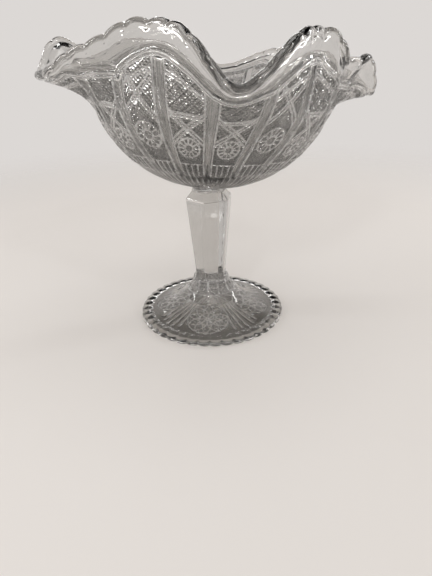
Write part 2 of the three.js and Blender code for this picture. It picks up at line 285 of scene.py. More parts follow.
# Studio, in metres
FLOOR_RADIUS = 4
FLOOR_SIDES = 96
FLOOR_DROP = 0.0002
FLOOR_COLOUR = "#e3dfdb"
FLOOR_FADE = (0.35, 0.9)  # distances from the foot between which the paper passes into the room
ROOM_COLOUR = "#dcd8d5"
CEILING_COLOUR = "#101011"
CEILING_START = (0.5, 0.62)  # sine of the elevation, above all that the camera looks at
ROOM_LIGHT = 0.8
LAMP_TARGET = (0, 0, 0.12)
LAMPS = [  # name, place, size, power in watts
    ("overhead_softbox", (0.1, 0.1, 1.2), (0.5, 0.5), 1.5),
    ("key_spot", (-0.35, -0.75, 0.65), (0.04, 0.16), 1.6),
    ("second_spot", (0.25, -0.7, 0.8), (0.05, 0.05), 0.8),
    ("right_strip", (0.9, 0.2, 0.5), (0.08, 0.5), 1.6),
    ("left_strip", (-0.85, 0.1, 0.55), (0.08, 0.5), 1.6),
    ("back_strip", (0.1, 0.95, 0.6), (0.5, 0.06), 0.8),
]


def mix(a, b, t):
    return a + (b - a) * t


def smooth(t):
    return t * t * (3 - 2 * t)


def clamp01(t):
    return np.clip(t, 0, 1)


def from_nearest(angle, count, first):
    """How far an angle is from the nearest of a number of evenly spaced directions."""
    pitch = 2 * math.pi / count
    turns = (angle - first) / pitch
    return (turns - np.round(turns)) * pitch


def humps(share, count):
    """Rounded humps with sharp notches between them, 0 in a notch and 1 on a hump."""
    return np.abs(np.sin(share * count * math.pi)) ** SCALLOP_POWER


# Bowl: wall surface


def rim_at(angle):
    """The rim in each direction: reach, rise, slope, spring angle, and 0 in a valley to 1 on a lobe."""
    at = np.mod(angle / DEGREE, 360)
    rim = np.zeros((5,) + at.shape)
    for i, (v_at, v_reach, v_rise, v_slope, v_spring, *pinches) in enumerate(VALLEYS):
        for side in (-1, 1):
            lobe = LOBES[i - 1] if side < 0 else LOBES[i]
            l_at, l_reach, l_rise, l_slope, l_spring = lobe
            span = ((l_at - v_at) * side) % 360
            away = np.mod((at - v_at) * side, 360)
            here = away <= span
            t = smooth(np.minimum(away / span, 1))
            climb = 1 - (1 - t) ** pinches[0 if side < 0 else 1]
            found = (
                mix(v_reach, l_reach, 1 - (1 - t) ** RIM_REACH_PINCH),
                mix(v_rise, l_rise, climb),
                mix(v_slope, l_slope, climb) * DEGREE,
                mix(v_spring, l_spring, t) * DEGREE,
                away / span,
            )
            for k in range(5):
                rim[k] = np.where(here, found[k], rim[k])
    for kink_at, half_width, out, up in KINKS:
        off = np.minimum(np.abs(np.mod(at - kink_at + 180, 360) - 180) / half_width, 1)
        share = (1 + np.cos(math.pi * off)) / 2
        rim[0] += share * out
        rim[1] += share * up
    return rim


def leant(points):
    """The bowl leans as a whole about the middle of its seat."""
    hinge = Vector((-math.sin(BOWL_LEAN_TOWARD), math.cos(BOWL_LEAN_TOWARD), 0))
    turn = np.array(Matrix.Rotation(BOWL_LEAN, 3, hinge))
    return points @ turn.T + np.array([0, 0, BOWL_SEAT_Z])


def wall_point(angle, v):
    """The smooth outer wall: v is 0 at the seat, 0.5 at the spring line and 1 at the rim."""
    angle, v = np.broadcast_arrays(angle, v)
    reach, rise, slope, spring, _ = rim_at(angle)
    u = mix(BOWL_SEAT_ANGLE, spring, np.minimum(1, v * 2))
    r = BOWL_RADIUS * np.sin(u)
    z = BOWL_CENTRE_RISE - BOWL_DEPTH * np.cos(u)
    t = np.clip(v * 2 - 1, 0, 1)
    start = np.arctan2(BOWL_DEPTH * np.sin(spring), BOWL_RADIUS * np.cos(spring))
    pull = RIM_DRAW * np.hypot(reach - r, rise - z)
    arrive, leave, land = smooth(t), t * (1 - t) ** 2, t * t * (t - 1)
    r = mix(r, reach, arrive) + pull * (leave * np.cos(start) + land * np.cos(slope))
    z = mix(z, rise, arrive) + pull * (leave * np.sin(start) + land * np.sin(slope))
    return leant(np.stack([r * np.cos(angle), r * np.sin(angle), z], -1))


def unit(vectors):
    return vectors / np.linalg.norm(vectors, axis=-1, keepdims=True)


def wall_frame(angle, v):
    """The outward normal of the wall and the direction up it."""
    step = 1e-3
    up = wall_point(angle, np.minimum(1, v + step)) - wall_point(angle, np.maximum(0, v - step))
    around = wall_point(angle + step, v) - wall_point(angle - step, v)
    return unit(np.cross(around, up)), unit(up)


def beside_wall(angle, v, out):
    """Points at a distance outwards from the wall."""
    normal, _ = wall_frame(angle, v)
    return wall_point(angle, v) + normal * np.asarray(out)[..., None]


def even_rim_directions(count):
    """Directions that stand evenly along the edge of the rim, so that the scallops are equally long."""
    angles = np.linspace(0, 2 * math.pi, RIM_SAMPLES)
    edge = wall_point(angles, np.ones_like(angles))
    along = np.concatenate([[0], np.cumsum(np.linalg.norm(np.diff(edge, axis=0), axis=1))])
    return np.interp(np.arange(count) / count * along[-1], along, angles)


# Bowl: pressed pattern


def border_height(angle, wall_length):
    """The border line above the pattern, which rises in an arch over every third flute."""
    off = clamp01(np.abs(from_nearest(angle, ARCHES, PATTERN_TURN)) / ARCH_HALF_ANGLE)
    arch = ARCH_RISE * np.cos(off * math.pi / 2)
    return np.minimum(BORDER_HEIGHT + arch, wall_length - BORDER_CLEARANCE)


def beside_pair(distance, spread):
    """Distance to the nearer of two ridges that run side by side."""
    return np.abs(np.abs(distance) - spread)


def zigzag(x, pitch):
    """0 on every line, 1 half-way between two lines."""
    turns = x / pitch
    return 1 - 2 * np.abs(turns - np.floor(turns) - 0.5)


def diamond_points(x, y, pitch):
    """Four-sided points in offset rows, 0 in the grooves between them."""
    return np.minimum(zigzag(x + y, pitch), zigzag(x - y, pitch))


def star_rays(x, y, rays):
    """Distance to the nearest ray of a star."""
    return np.abs(np.hypot(x, y) * np.sin(from_nearest(np.arctan2(y, x), rays, 0)))


def drawn(angle, height):
    """Below the ruffles the pattern is drawn together towards the front, as the photograph shows."""
    low, high = DRAW_LEVELS
    share = clamp01((high - height) / (high - low))
    return angle + share * (DRAW * np.sin(angle - DRAW_TOWARD) + DRAW_TURN)


def bowl_pattern(angle, height, radius, border):
    """The bowl's pattern in millimetres: relief, distance to the nearest ridge, and where it is hatched."""
    rise = clamp01((height - FLUTES_START) / (BORDER_HEIGHT - FLUTES_START))
    flute_half = mix(FLUTE_START_HALF_WIDTH, FLUTE_END_HALF_WIDTH, rise)
    flute_x = np.abs(from_nearest(angle, FLUTES, PATTERN_TURN)) * radius
    across = flute_x / flute_half
    flute = FLUTE_LIP * across**2 - FLUTE_DEPTH * (1 - across**2)

    x = from_nearest(angle, FLUTES, PANEL_TURN) * radius
    half = np.maximum(FLUTE_PITCH / 2 * radius - flute_half, 1)
    t = x / half
    panel = np.mod(np.floor((angle - PATTERN_TURN) / FLUTE_PITCH), 3)  # 0 and 2 lie under an arch

    def pick(pair):
        """The value of a pair that this panel takes."""
        return np.where(panel == 2, pair[1], pair[0])

    def arm(left, right):
        """A pair of ridges across the panel, from a height on its left edge to one on its right."""
        lean = (right - left) / 2 / half
        return beside_pair((height - mix(left, right, (t + 1) / 2)) / np.hypot(1, lean), ARM_SPREAD)

    low_cross, high_cross = (np.minimum(arm(*rising), arm(*falling)) for rising, falling in CROSSES)
    bar = np.where(np.abs(t) < BAR_REACH, beside_pair(height - BAR_HEIGHT, PAIR_SPREAD), FAR)
    inner_arch = np.where(panel != 1, beside_pair(border - INNER_ARCH_GAP - height, PAIR_SPREAD), FAR)
    ridge = np.minimum(pick((np.minimum(low_cross, bar), high_cross)), inner_arch)

    above_hub, reach = height - pick(STAR_HEIGHTS), pick(STAR_RADII)
    from_hub = np.hypot(x, above_hub)
    rings = np.minimum(np.abs(from_hub - reach), np.abs(from_hub - STAR_HUB * reach))
    rays = np.where(from_hub > STAR_HUB * reach, star_rays(x, above_hub, STAR_RAYS), from_hub)
    ridge = np.where(from_hub < reach + STAR_MARGIN, STAR_LINE * np.minimum(rings, rays), ridge)
    reeds = np.abs(from_nearest(t * math.pi, REEDS, 0)) / math.pi * half
    ridge = np.where(height < REEDS_END + 1, np.minimum(reeds, np.abs(height - REEDS_END)), ridge)

    points = POINT_RELIEF * diamond_points(x, height, POINT_PITCH)
    plain = GROUND_RELIEF * diamond_points(x, height, GROUND_PITCH)
    ground = np.where(height > pick(FIELD_HEIGHTS), points, plain)
    relief = np.maximum(ground, RIDGE_RELIEF * clamp01(RIDGE_HALF_WIDTH - ridge))
    relief = relief * clamp01((across - 1) * PANEL_SLOPE)
    lip = FLUTE_LIP * clamp01(FLUTE_LIP_WIDTH - (flute_x - flute_half))
    relief = np.where(across < 1, flute, np.maximum(relief, lip))
    ridge = np.minimum(np.where(across < 1, FAR, ridge), np.abs(flute_x - flute_half))

    top = border - BORDER_HALF_WIDTH
    inside = (height > FLUTES_START) & (height < top)
    fade = clamp01((height - FLUTES_START) / PATTERN_FADE_LOW) * clamp01((top - height) / PATTERN_FADE_HIGH)
    base = BASE_RELIEF * zigzag(angle - PATTERN_TURN, 2 * math.pi / BASE_RAYS)
    base = base * clamp01((FLUTES_START + 1 - height) / PATTERN_FADE_LOW)
    base = base * clamp01((height - BASE_START) / BASE_FADE)
    ridge = np.where(inside, ridge, FAR)
    ridge = np.minimum(ridge, beside_pair(height - border, PAIR_SPREAD))
    return relief * fade + base, ridge, inside * (across > 1)


# Making a pressed piece


def deselect():
    bpy.ops.object.select_all(action="DESELECT")


def wrap_sheet(name, rings):
    """A flat sheet wrapped into a closed body: its rows become rings, from the bottom pole to the top."""
    count, columns = rings.shape[:2]
    deselect()
    bpy.ops.mesh.primitive_grid_add(x_subdivisions=columns, y_subdivisions=count - 1, size=2)
    piece = bpy.context.object
    piece.name = piece.data.name = name
    flat = np.zeros(len(piece.data.vertices) * 3)
    piece.data.vertices.foreach_get("co", flat)
    flat = (flat.reshape(-1, 3) + 1) / 2
    column = np.round(flat[:, 0] * columns).astype(int) % columns
    ring = np.round(flat[:, 1] * (count - 1)).astype(int)
    piece.data.vertices.foreach_set("co", (rings[ring, column] * MM).ravel())
    piece.data.update()
    bpy.ops.object.shade_smooth()
    return piece, ring, column


def close_seams(piece):
    """Joins the two edges of the wrapped sheet and draws its first and last row together."""
    deselect()
    bpy.context.view_layer.objects.active = piece
    piece.select_set(True)
    bpy.ops.object.mode_set(mode="EDIT")
    bpy.ops.mesh.select_all(action="SELECT")
    bpy.ops.mesh.remove_doubles(threshold=1e-6)
    bpy.ops.mesh.normals_make_consistent(inside=False)
    bpy.ops.object.mode_set(mode="OBJECT")


def add_attribute(piece, name, values):
    attribute = piece.data.attributes.new(name, "FLOAT_VECTOR", "POINT")
    attribute.data.foreach_set("vector", np.ascontiguousarray(values, dtype=np.float32).ravel())


def outer_row_heights(angle, border, wall_length):
    """How high up the wall each row of the outside lies, from the seat to the foot of the bead."""
    base = np.linspace(BASE_MARGIN, FLUTES_START - BASE_MARGIN, BOWL_BASE_ROWS)
    heights = [np.full_like(angle, h) for h in base]
    heights += [mix(FLUTES_START, border - BORDER_GAP, t) for t in np.linspace(0, 1, BOWL_PATTERN_ROWS)]
    heights += [border + d for d in np.linspace(-BORDER_REACH, BORDER_REACH, BOWL_BORDER_ROWS)]
    bead_foot = np.maximum(wall_length - RIM_BEAD_RADIUS - BEAD_GAP, border + PLAIN_LEAST)
    heights += [mix(border + BORDER_GAP, bead_foot, t) for t in np.linspace(0, 1, BOWL_PLAIN_ROWS)]
    return np.stack(heights)


def rim_bead(angle, edge):
    """Rows round the bead that ends the wall, with its scallops."""
    normal, up = wall_frame(angle, np.ones_like(angle))
    notch = RIM_SCALLOP_DEPTH * (humps(np.arange(len(angle)) / len(angle), RIM_SCALLOPS) - 1)
    notch = notch * mix(RIM_SCALLOP_IN_VALLEY, 1, rim_at(angle)[4])
    heart = edge - normal * BOWL_WALL / 2 + up * (notch - RIM_BEAD_RADIUS)[:, None]
    return [
        heart + RIM_BEAD_RADIUS * (normal * math.cos(a) + up * math.sin(a))
        for a in np.linspace(*BEAD_ARC, BOWL_BEAD_ROWS)
    ]


def inner_rows(angle):
    """Rows down the plain inside of the wall, which thickens towards the floor."""
    rows = []
    for v in np.linspace(*INNER_WALL, BOWL_INNER_ROWS):
        thickness = mix(BOWL_WALL, BOWL_FLOOR, (1 - v) ** BOWL_FLOOR_POWER)
        rows.append(beside_wall(angle, np.full_like(angle, v), np.full_like(angle, -thickness)))
    return rows


def make_bowl():
    """One closed wall: seat, patterned outside, rim bead, plain inside."""
    angle = even_rim_directions(BOWL_COLUMNS)
    marks = np.linspace(0, 1, WALL_SAMPLES)
    walls = wall_point(angle[:, None], marks[None, :])
    steps = np.linalg.norm(np.diff(walls, axis=1), axis=2)
    lengths = np.concatenate([np.zeros((BOWL_COLUMNS, 1)), np.cumsum(steps, axis=1)], axis=1)
    border = border_height(angle, lengths[:, -1])

    heights = outer_row_heights(angle, border, lengths[:, -1])
    v = np.stack([np.interp(heights[:, i], lengths[i], marks) for i in range(BOWL_COLUMNS)], axis=1)
    wall = wall_point(angle[None, :], v)
    radius = np.hypot(wall[..., 0], wall[..., 1])
    pressed = drawn(angle[None, :], heights)
    relief, ridge, hatched = bowl_pattern(pressed, heights, radius, border[None, :])
    beside_border = beside_pair(heights - border, PAIR_SPREAD)
    relief = relief + BORDER_RELIEF * clamp01(BORDER_LINE_HALF_WIDTH - beside_border)
    outer = beside_wall(angle[None, :], v, relief)

    x, y = BOWL_SEAT_RADIUS * np.cos(angle), BOWL_SEAT_RADIUS * np.sin(angle)
    seat = np.stack([x, y, 0 * angle + BOWL_SEAT_Z], -1)
    bottom = np.broadcast_to(np.array([0, 0, BOWL_SEAT_Z]), seat.shape)
    middle = np.broadcast_to(leant(np.array([0, 0, BOWL_FLOOR])), seat.shape)
    bead = rim_bead(angle, walls[:, -1])
    rows = np.concatenate([[bottom, seat], outer, bead, inner_rows(angle), [middle]])
    piece, ring, column = wrap_sheet("glass_bowl", rows)

    patterned = slice(2, 2 + len(heights))
    x = from_nearest(pressed, FLUTES, PANEL_TURN) * radius
    pattern = np.zeros(rows.shape)
    pattern[patterned] = np.stack([x * MM, heights * MM, hatched], -1)
    # Painted shade: full grey on the hatched ground, a lighter grey in the flutes and elsewhere below the
    # border, and more towards the bottom below the flutes
    low = BOWL_BASE_SHARE * clamp01((FLUTES_START + BOWL_BASE_FADE - heights) / BOWL_BASE_FADE)
    plain = BOWL_PLAIN_SHARE * (heights < border)
    painted_shade = BOWL_PAINTED_SHADE * np.maximum(np.where(hatched > 0, 1, plain), low)
    ridges = np.zeros(rows.shape)
    ridges[..., 0] = FAR * MM
    ridges[patterned] = np.stack([ridge * MM, painted_shade, 0 * ridge], -1)
    add_attribute(piece, "pattern", pattern[ring, column])
    add_attribute(piece, "ridge", ridges[ring, column])
    close_seams(piece)
    return piece


# Foot


def foot_top(radius):
    """The height of the dome and of the neck that rises from it to the stem."""
    spread = clamp01((FOOT_RADIUS - radius) / (FOOT_RADIUS - FOOT_FLARE_RADIUS))
    flare = mix(FOOT_EDGE_THICKNESS, FOOT_FLARE_HEIGHT, spread**FOOT_DOME_POWER)
    neck = clamp01((FOOT_FLARE_RADIUS - radius) / (FOOT_FLARE_RADIUS - FOOT_SEAT_RADIUS))
    return flare + (FOOT_HEIGHT - FOOT_FLARE_HEIGHT) * neck**FOOT_NECK_POWER


def foot_hollow(radius):
    """The shallow cone under the foot, which carries its pattern."""
    share = clamp01(1 - radius / FOOT_HOLLOW_RADIUS) ** FOOT_HOLLOW_POWER
    return FOOT_HOLLOW_EDGE + (FOOT_HOLLOW_HEIGHT - FOOT_HOLLOW_EDGE) * share


def hollow_pattern(radius, angle):
    """The pattern under the foot: relief, distance to the nearest ridge, and where it is hatched."""
    off = from_nearest(angle, MEDALLIONS, MEDALLION_TURN)
    across, along = radius * np.sin(off), radius * np.cos(off) - MEDALLION_DISTANCE
    from_hub, turn = np.hypot(across, along), np.arctan2(along, across)
    share = from_hub / MEDALLION_RADIUS
    in_medallion = share < 1
    rings = np.minimum(np.abs(share - MEDALLION_RIM), np.abs(share - MEDALLION_HUB)) * MEDALLION_RADIUS
    one_way = np.abs(from_nearest(turn + share, MEDALLION_SPIRALS, 0))
    other_way = np.abs(from_nearest(turn - share, MEDALLION_SPIRALS, 0))
    lattice = np.minimum(one_way, other_way) * from_hub
    star = star_rays(across, along, MEDALLION_HUB_RAYS)
    medallion = MEDALLION_LINE * np.minimum(rings, np.where(share < MEDALLION_HUB, star, lattice))

    fan_off = from_nearest(angle, MEDALLIONS, MEDALLION_TURN + math.pi / MEDALLIONS)
    rib = np.clip(np.round(fan_off / FAN_PITCH), -(FAN_RIBS // 2), FAN_RIBS // 2)
    beside = np.abs(fan_off - rib * FAN_PITCH) * radius
    fan_end = FAN_END - FAN_END_DROP * np.abs(rib) / (FAN_RIBS // 2)
    in_fan = ~in_medallion & (radius < fan_end) & (radius > FAN_START)
    in_middle = ~in_medallion & (radius < FAN_START)
    petal = np.abs(from_nearest(angle, PETALS, STEM_TURN)) * radius
    middle = np.where(in_middle, np.minimum(petal, np.abs(radius - FAN_START)), FAR)
    ridge = np.where(in_medallion, medallion, np.where(in_fan, FAN_LINE * beside, middle))

    rib_height = FAN_RELIEF * clamp01((radius - FAN_START) / FAN_FADE_IN)
    rib_height = rib_height * clamp01((fan_end - radius) / FAN_FADE_OUT)
    ribs = in_fan * rib_height * clamp01(HOLLOW_LINE_HALF_WIDTH - beside)
    lines = MEDALLION_RELIEF * clamp01(HOLLOW_LINE_HALF_WIDTH - ridge)
    return np.where(in_medallion, lines, ribs), ridge, (in_medallion | in_middle) * 1.0


def make_foot():
    """One closed body: patterned hollow, standing ring, scalloped edge and border, dome, neck and seat."""
    angle = np.arange(FOOT_COLUMNS) / FOOT_COLUMNS * 2 * math.pi
    hump = humps(angle / (2 * math.pi), FOOT_SCALLOPS)
    edge = FOOT_RADIUS - FOOT_SCALLOP_DEPTH * (1 - hump)
    border = FOOT_RADIUS - FOOT_SCALLOP_DEPTH - FOOT_BORDER_WIDTH
    rows, patterns, ridges = [], [], []

    def add_row(radius, z, ridge=FAR, hatched=0.0, painted_shade=0.0):
        """One ring, with its distance to the nearest ridge, where it is hatched, and its painted shade."""
        values = (radius, z, ridge, hatched, painted_shade)
        radius, z, ridge, hatched, painted_shade = (np.asarray(value) + 0 * angle for value in values)
        x, y = radius * np.cos(angle), radius * np.sin(angle)
        rows.append(np.stack([x, y, z], -1))
        patterns.append(np.stack([x * MM, y * MM, hatched], -1))
        ridges.append(np.stack([ridge * MM, painted_shade, 0 * ridge], -1))

    add_row(0, FOOT_HOLLOW_HEIGHT)
    for r in np.linspace(FOOT_HOLLOW_START, FOOT_HOLLOW_RADIUS, FOOT_HOLLOW_ROWS):
        relief, ridge, hatched = hollow_pattern(r + 0 * angle, angle)
        z = np.maximum(foot_hollow(r) - relief, FOOT_LEAST_HOLLOW)
        # Painted shade: grey over the whole hollow, full where it is hatched
        add_row(r, z, ridge, hatched, mix(FOOT_PAINTED_SHADE, 1, hatched))
    add_row(FOOT_HOLLOW_RADIUS + FOOT_ROW_GAP, 0)
    add_row(edge - FOOT_EDGE_ROUNDING, 0)
    for a in np.linspace(-FOOT_EDGE_ARC, FOOT_EDGE_ARC, FOOT_EDGE_ROWS) * DEGREE:
        height = FOOT_EDGE_THICKNESS * (0.5 + 0.5 * math.sin(a) / FOOT_EDGE_ARC_SINE)
        add_row(edge - FOOT_EDGE_ROUNDING * (1 - math.cos(a)), height)
    for t in np.linspace(0, 1, FOOT_BORDER_ROWS):
        inward = mix(edge - FOOT_EDGE_ROUNDING, border, t)
        add_row(inward, foot_top(inward) + FOOT_SCALLOP_HUMP * hump * math.sin(math.pi * t))
    for r in np.linspace(border - FOOT_ROW_GAP, FOOT_FLARE_RADIUS + 2 * FOOT_ROW_GAP, FOOT_DOME_ROWS):
        add_row(r, foot_top(r))
    petal = np.abs(from_nearest(angle, PETALS, STEM_TURN))
    for r in np.linspace(FOOT_FLARE_RADIUS + FOOT_ROW_GAP, FOOT_SEAT_RADIUS, FOOT_NECK_ROWS):
        ridge = np.minimum(petal * r, abs(r - FOOT_FLARE_RADIUS))
        relief = PETAL_RELIEF * clamp01(PETAL_HALF_WIDTH - ridge)
        relief = relief * clamp01((r - FOOT_SEAT_RADIUS) / PETAL_FADE)
        # The neck between the petals takes painted shade too
        hatched = FOOT_SEAT_RADIUS + 2 * FOOT_ROW_GAP < r < FOOT_FLARE_RADIUS
        add_row(r, foot_top(r) + relief, ridge, hatched, PETAL_PAINTED_SHADE * hatched)
    half_side = math.pi / STEM_SIDES
    to_side = np.cos(from_nearest(angle, STEM_SIDES, STEM_TURN + half_side))
    add_row(STEM_BASE_RADIUS * math.cos(half_side) / to_side, FOOT_HEIGHT)
    add_row(0, FOOT_HEIGHT)
    piece, ring, column = wrap_sheet("glass_foot", np.stack(rows))
    add_attribute(piece, "pattern", np.stack(patterns)[ring, column])
    add_attribute(piece, "ridge", np.stack(ridges)[ring, column])
    close_seams(piece)
    return piece


# Stem and wafer


def extrude_profile(name, sides, turn, profile):
    """A straight-sided piece drawn up ring by ring from its base."""
    (base_radius, base_z), *rest = profile
    deselect()
    bpy.ops.mesh.primitive_circle_add(
        vertices=sides,
        radius=base_radius * MM,
        fill_type="NGON",
        location=(0, 0, base_z * MM),
        rotation=(0, 0, turn),
    )
    piece = bpy.context.object
    piece.name = piece.data.name = name
    bpy.ops.object.transform_apply(location=True, rotation=True, scale=True)
    bpy.ops.object.mode_set(mode="EDIT")
    radius, z = base_radius, base_z
    for next_radius, next_z in rest:
        bpy.ops.mesh.extrude_region_move(TRANSFORM_OT_translate={"value": (0, 0, (next_z - z) * MM)})
        wider = next_radius / radius
        bpy.ops.transform.resize(value=(wider, wider, 1), center_override=(0, 0, 0))
        radius, z = next_radius, next_z
    bpy.ops.mesh.select_all(action="SELECT")
    bpy.ops.mesh.normals_make_consistent(inside=False)
    bpy.ops.object.mode_set(mode="OBJECT")
    return piece


def make_stem():
    profile = [
        (STEM_BASE_RADIUS, FOOT_HEIGHT),
        (STEM_WAIST_RADIUS, FOOT_HEIGHT + STEM_WAIST_HEIGHT),
        (STEM_SHOULDER_RADIUS, SHOULDER_Z),
        (STEM_SHOULDER_RADIUS, SHOULDER_Z + STEM_SHOULDER_BAND),
        (STEM_TOP_RADIUS, STEM_TOP_Z),
    ]
    piece = extrude_profile("glass_stem", STEM_SIDES, STEM_TURN - math.pi / 2, profile)
    deselect()
    piece.select_set(True)
    bpy.context.view_layer.objects.active = piece
    bpy.ops.object.mode_set(mode="EDIT")
    bpy.ops.mesh.select_all(action="SELECT")
    bpy.ops.mesh.bevel(offset=STEM_CORNER_ROUNDING * MM, segments=STEM_ROUNDING_STEPS)
    bpy.ops.object.mode_set(mode="OBJECT")
    # Painted shade: a light grey over the whole stem
    add_attribute(piece, "ridge", np.tile([FAR * MM, STEM_PAINTED_SHADE, 0], (len(piece.data.vertices), 1)))
    return piece


def make_wafer():
    profile = []
    for t in np.linspace(0, 1, WAFER_ROWS):
        radius = mix(WAFER_STEM_RADIUS, WAFER_BOWL_RADIUS, smooth(t)) - WAFER_WAIST * math.sin(math.pi * t)
        profile.append((radius, mix(STEM_TOP_Z, BOWL_SEAT_Z, t)))
    piece = extrude_profile("glass_wafer", WAFER_SIDES, 0, profile)
    deselect()
    piece.select_set(True)
    bpy.ops.object.shade_smooth_by_angle(angle=WAFER_SMOOTH_ANGLE)
    return piece


# Materials


def linear(hex_colour):
    """An sRGB hex colour as linear RGBA."""
    parts = [int(hex_colour[i : i + 2], 16) / 255 for i in (1, 3, 5)]
    return (*[c / 12.92 if c <= 0.04045 else ((c + 0.055) / 1.055) ** 2.4 for c in parts], 1)


def add_node(tree, kind, settings=None, **inputs):
    """A node with its settings. An input is named with _ for a space, or as i and its number, and is given
    a value, or an output to link."""
    node = tree.nodes.new(kind)
    for key, value in (settings or {}).items():
        setattr(node, key, value)
    for key, value in inputs.items():
        numbered = key[0] == "i" and key[1:].isdigit()
        socket = node.inputs[int(key[1:]) if numbered else key.replace("_", " ")]
        if isinstance(value, bpy.types.NodeSocket):
            tree.links.new(value, socket)
        else:
            socket.default_value = value
    return node


def new_material(name):
    material = bpy.data.materials.new(name)
    material.use_nodes = True
    material.node_tree.nodes.clear()
    return material, material.node_tree


def ridge_lines(tree):
    """How near a point is to the crest of a ridge, from 0 to 1, and how much painted shade, a grey, its
    ground takes.
    """
    ridge = add_node(tree, "ShaderNodeAttribute", {"attribute_name": "ridge"})
    beside, painted_shade, _ = add_node(tree, "ShaderNodeSeparateXYZ", Vector=ridge.outputs["Vector"]).outputs
    start, end = SHOULDER
    crest = add_node(
        tree,
        "ShaderNodeMapRange",
        {"interpolation_type": "SMOOTHSTEP"},
        Value=beside,
        From_Min=start,
        From_Max=end,
        To_Min=1.0,
        To_Max=0.0,
    )
    return crest.outputs[0], painted_shade


def hatching(tree):
    """The height of crossed grooves, where the piece is hatched."""
    pattern = add_node(tree, "ShaderNodeAttribute", {"attribute_name": "pattern"})
    x, height, hatched = add_node(tree, "ShaderNodeSeparateXYZ", Vector=pattern.outputs["Vector"]).outputs
    rising = add_node(tree, "ShaderNodeMath", {"operation": "ADD"}, i0=x, i1=height)
    falling = add_node(tree, "ShaderNodeMath", {"operation": "SUBTRACT"}, i0=x, i1=height)
    one_way, other_way = (
        add_node(tree, "ShaderNodeMath", {"operation": "PINGPONG"}, i0=way.outputs[0], i1=HATCH_WIDTH)
        for way in (rising, falling)
    )
    lower = {"operation": "MINIMUM"}
    multiply = {"operation": "MULTIPLY"}
    grooves = add_node(tree, "ShaderNodeMath", lower, i0=one_way.outputs[0], i1=other_way.outputs[0])
    steep = add_node(tree, "ShaderNodeMath", multiply, i0=hatched, i1=HATCH_STEEPNESS)
    return add_node(tree, "ShaderNodeMath", multiply, i0=grooves.outputs[0], i1=steep.outputs[0]).outputs[0]


def pressed_skin(tree, place, crest):
    """The bent normal of the skin: a slow waviness, the hatching and the ridges' shoulders."""
    multiply = {"operation": "MULTIPLY"}
    waves = add_node(tree, "ShaderNodeTexNoise", Vector=place, Scale=1 / WAVE_LENGTH, Detail=2.0)
    slow = add_node(tree, "ShaderNodeMath", multiply, i0=waves.outputs[0], i1=WAVE_HEIGHT)
    raised = add_node(tree, "ShaderNodeMath", multiply, i0=crest, i1=SHOULDER_HEIGHT)
    fine = add_node(tree, "ShaderNodeMath", {"operation": "MAXIMUM"}, i0=hatching(tree), i1=raised.outputs[0])
    relief = add_node(tree, "ShaderNodeMath", {"operation": "ADD"}, i0=slow.outputs[0], i1=fine.outputs[0])
    bump = add_node(tree, "ShaderNodeBump", Height=relief.outputs[0], Strength=1.0, Distance=1.0)
    return bump.outputs[0]


def pressed_glass():
    """Colourless soda glass, pressed and fire-polished: clear and smooth, with a slow waviness.

    The ridges get crisp shoulders. The ground between them gets the fine hatching of the mould, and painted
    shade:
    a grey mixed into the glass's colour for the darkening by the part of that hatching that is too fine to
    show.
    The lower bowl, the foot and the stem take some of that painted shade, and even the crests keep a light
    grey of it.
    In front of a pale room plain ridges would hardly be seen, so they scatter a little light and stand out
    pale, as in the photograph."""
    material, tree = new_material("pressed_soda_glass")
    multiply, subtract = {"operation": "MULTIPLY"}, {"operation": "SUBTRACT"}
    place = add_node(tree, "ShaderNodeTexCoord").outputs["Object"]
    crest, painted_shade = ridge_lines(tree)

    low, high = SPECKS
    clearest, palest = SCATTER
    specks = add_node(tree, "ShaderNodeTexNoise", Vector=place, Scale=1 / SPECK_SIZE, Detail=1.0).outputs[0]
    patchy = add_node(
        tree, "ShaderNodeMapRange", Value=specks, From_Min=low, From_Max=high, To_Min=clearest, To_Max=palest
    )
    scatter = add_node(tree, "ShaderNodeMath", multiply, i0=crest, i1=patchy.outputs[0])
    through = add_node(tree, "ShaderNodeMath", subtract, i0=1.0, i1=scatter.outputs[0])

    # Painted shade: the ground between the crests is mixed towards the grey
    off_crest = add_node(tree, "ShaderNodeMath", subtract, i0=1.0, i1=crest)
    ground = add_node(tree, "ShaderNodeMath", multiply, i0=painted_shade, i1=off_crest.outputs[0])
    body = add_node(
        tree,
        "ShaderNodeMix",
        {"data_type": "RGBA"},
        i0=ground.outputs[0],
        i6=linear(SHADED_CLEAR_COLOUR),
        i7=linear(PAINTED_SHADE_COLOUR),
    )
    glass = add_node(
        tree,
        "ShaderNodeBsdfPrincipled",
        Base_Color=body.outputs[2],
        Roughness=0.02,
        IOR=SODA_GLASS_IOR,
        Normal=pressed_skin(tree, place, crest),
        Transmission_Weight=through.outputs[0],
    )
    clear = add_node(tree, "ShaderNodeBsdfTransparent", Color=linear(SHADOW_COLOUR))
    shadow = add_node(tree, "ShaderNodeLightPath").outputs["Is Shadow Ray"]
    either = add_node(tree, "ShaderNodeMixShader", i0=shadow, i1=glass.outputs[0], i2=clear.outputs[0])
    add_node(tree, "ShaderNodeOutputMaterial", Surface=either.outputs[0])
    return material


def fused_joint():
    """Where two pieces were stuck together hot there is no surface left between them."""
    material, tree = new_material("fused_glass_joint")
    clear = add_node(tree, "ShaderNodeBsdfTransparent", Color=(1, 1, 1, 1))
    add_node(tree, "ShaderNodeOutputMaterial", Surface=clear.outputs[0])
    return material


